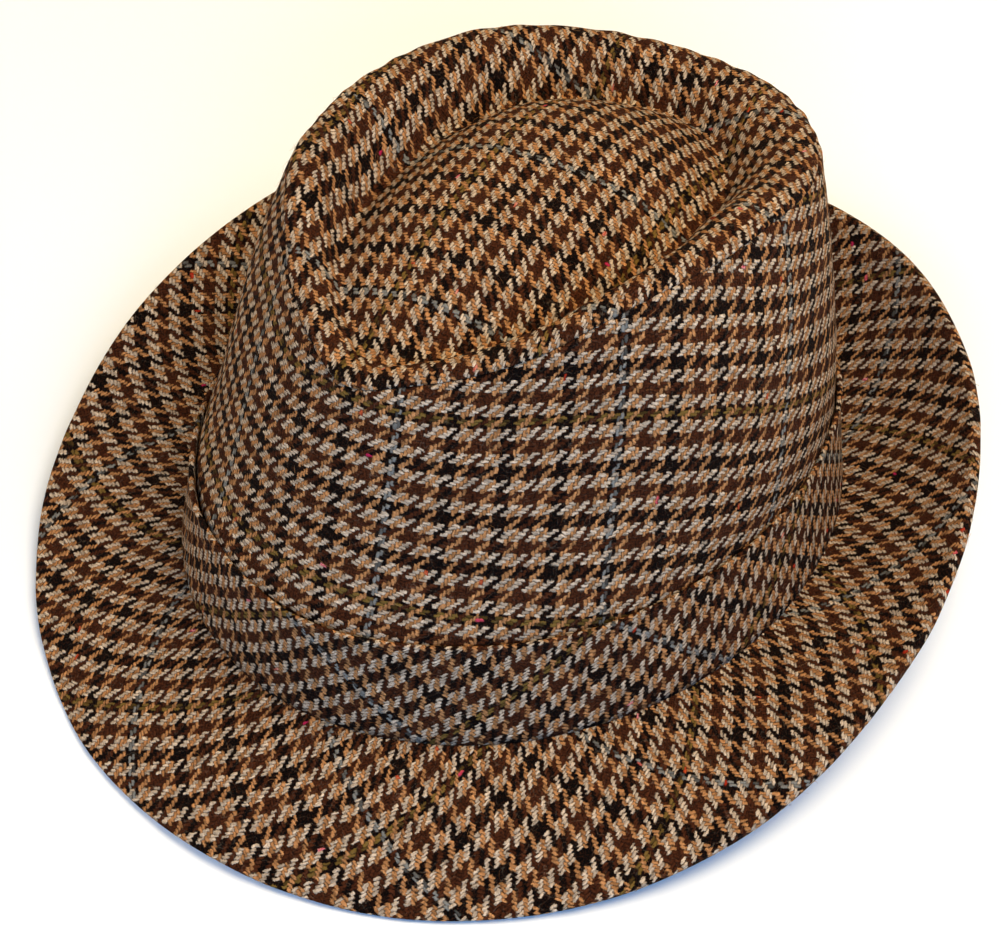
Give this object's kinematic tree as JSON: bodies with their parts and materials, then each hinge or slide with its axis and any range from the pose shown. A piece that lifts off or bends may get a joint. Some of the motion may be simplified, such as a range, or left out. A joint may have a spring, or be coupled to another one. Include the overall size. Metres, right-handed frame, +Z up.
{
  "type": "fedora",
  "caption": "Cloth fedora with a pinched teardrop crown, a matching band, and a narrow brim turned down at the front and up behind.",
  "frame": {"origin": "on the surface the hat rests on, below the middle of its overall box", "axes": "+X is the wearer's left, +Y is the back of the hat, +Z is up"},
  "size_m": [0.2658, 0.2816, 0.1276],
  "materials": {
    "tweed": "matt woollen houndstooth tweed"
  },
  "bodies": {
    "root": {"brim": "tweed", "hat_band": "tweed", "crown_side": "tweed", "crown_tip": "tweed"}
  },
  "joints": []
}
